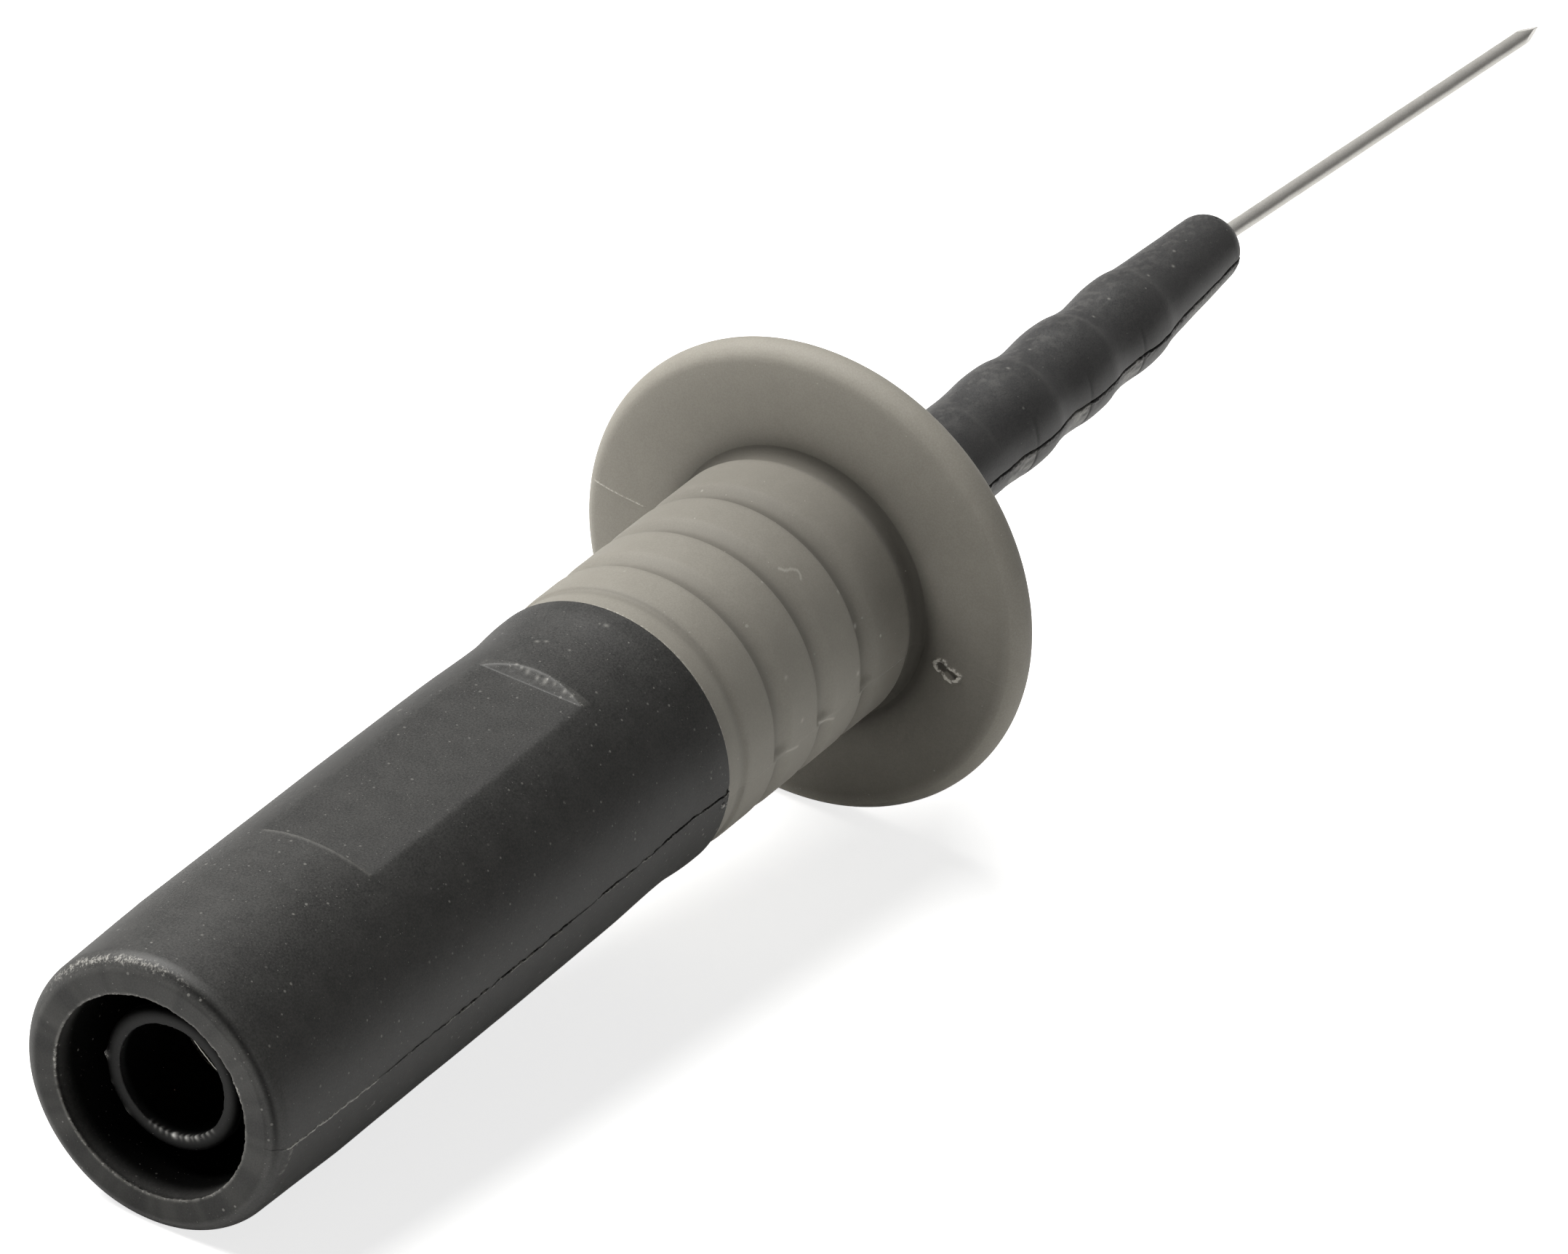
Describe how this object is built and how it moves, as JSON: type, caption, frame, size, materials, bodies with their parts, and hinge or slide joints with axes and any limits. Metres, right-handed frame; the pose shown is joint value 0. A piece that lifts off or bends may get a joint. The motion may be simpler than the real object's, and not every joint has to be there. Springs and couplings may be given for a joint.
{
  "type": "test probe",
  "caption": "Slim hand-held test probe: black handle with a shrouded 4 mm rear socket, soft grey ringed finger guard, wavy black nose and bare steel needle.",
  "frame": {"origin": "centre of the socket's rear rim, in the plane of the rim", "axes": "+X along the handle from the rear rim towards the needle; +Z out of the handle's flat panel; +Y to the left when looking along +X, so the moulds part in the plane z = 0"},
  "size_m": [0.1155, 0.0224, 0.0224],
  "materials": {
    "handle_black": "fine matt mould texture",
    "socket_black": "matt",
    "contact_nickel": "turned, nickel plated",
    "spacer_natural": "natural nylon",
    "guard_grey": "soft matt elastomer, warm grey",
    "nose_black": "soft matt elastomer",
    "strand_copper": "bare stranded copper",
    "jacket_black": "satin",
    "ferrule_tinned": "tinned",
    "needle_steel": "drawn and ground"
  },
  "bodies": {
    "root": {"handle_shell": "handle_black", "socket_insulator": "socket_black", "socket_contact": "contact_nickel", "spacer_tube": "spacer_natural", "guard_sleeve": "guard_grey", "nose_sleeve": "nose_black", "lead_strand": "strand_copper", "lead_jacket": "jacket_black", "needle_ferrule": "ferrule_tinned", "needle": "needle_steel"}
  },
  "joints": []
}
